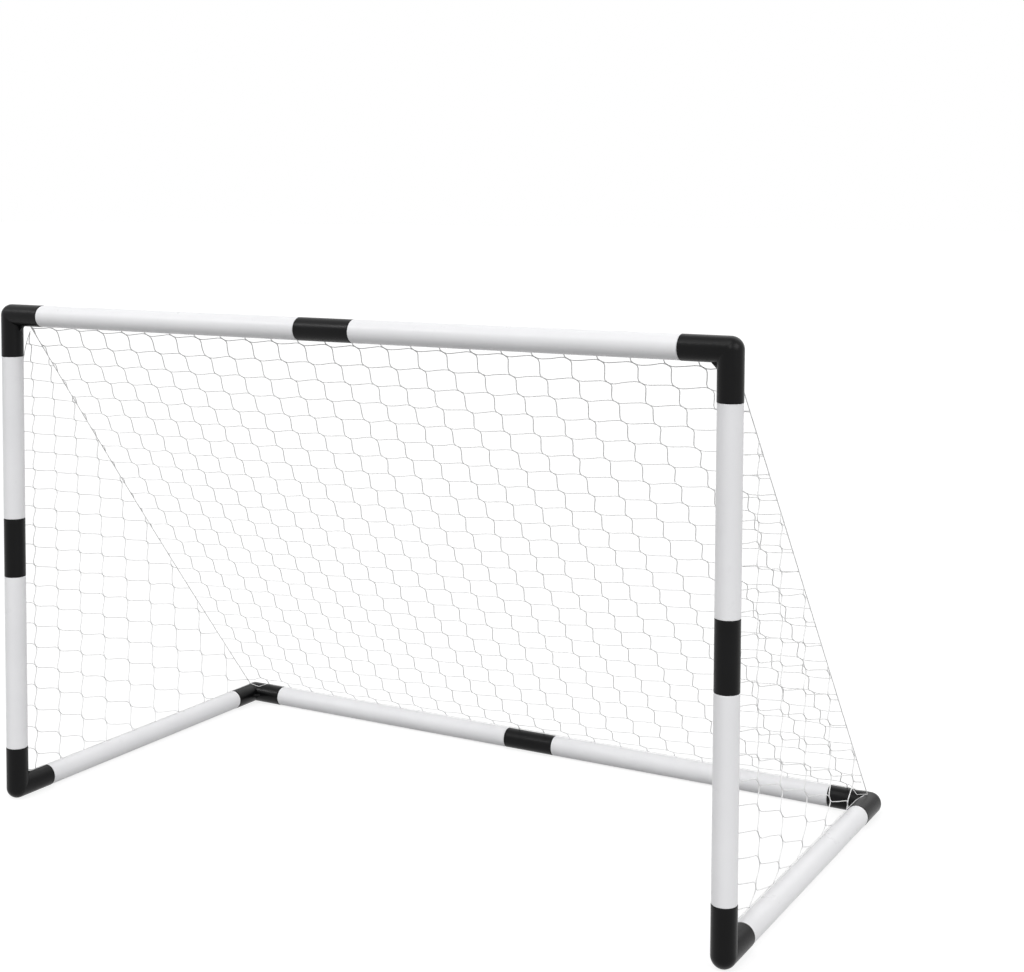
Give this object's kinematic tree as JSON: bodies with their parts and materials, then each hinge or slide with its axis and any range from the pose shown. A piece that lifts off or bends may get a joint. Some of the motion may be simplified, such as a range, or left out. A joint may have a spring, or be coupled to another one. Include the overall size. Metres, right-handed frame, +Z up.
{
  "type": "lawn game goal",
  "caption": "Small free-standing lawn goal: a wedge of white push-fit tubes with black elbows and couplers, closed at the back and sides by a white hexagonal net.",
  "frame": {"origin": "middle of the footprint, on the ground", "axes": "+Z up, the mouth faces -Y, +X along the crossbar, to the right as seen from in front of the mouth"},
  "size_m": [0.935, 0.485, 0.595],
  "materials": {
    "tube_white": "smooth, slightly glossy white plastic tube",
    "connector_black": "satin black moulded plastic",
    "net_white": "white knotless polyester twine"
  },
  "bodies": {
    "root": {"front_left_elbow": "connector_black", "front_right_elbow": "connector_black", "left_side_tube": "tube_white", "right_side_tube": "tube_white", "rear_left_elbow": "connector_black", "rear_right_elbow": "connector_black", "rear_bar_left_tube": "tube_white", "rear_bar_coupler": "connector_black", "rear_bar_right_tube": "tube_white", "back_net": "net_white", "left_net": "net_white", "right_net": "net_white", "left_seam_cord": "net_white", "right_seam_cord": "net_white"},
    "upright": {"left_post_lower_tube": "tube_white", "left_post_upper_tube": "tube_white", "right_post_lower_tube": "tube_white", "right_post_upper_tube": "tube_white", "crossbar_left_tube": "tube_white", "crossbar_right_tube": "tube_white", "left_post_coupler": "connector_black", "right_post_coupler": "connector_black", "top_left_elbow": "connector_black", "top_right_elbow": "connector_black", "crossbar_coupler": "connector_black"}
  },
  "joints": [
    {"name": "upright_lift_off", "type": "slide", "parent": "root", "child": "upright", "axis": [0, 0, 1], "range_m": [0, 0.045]}
  ]
}
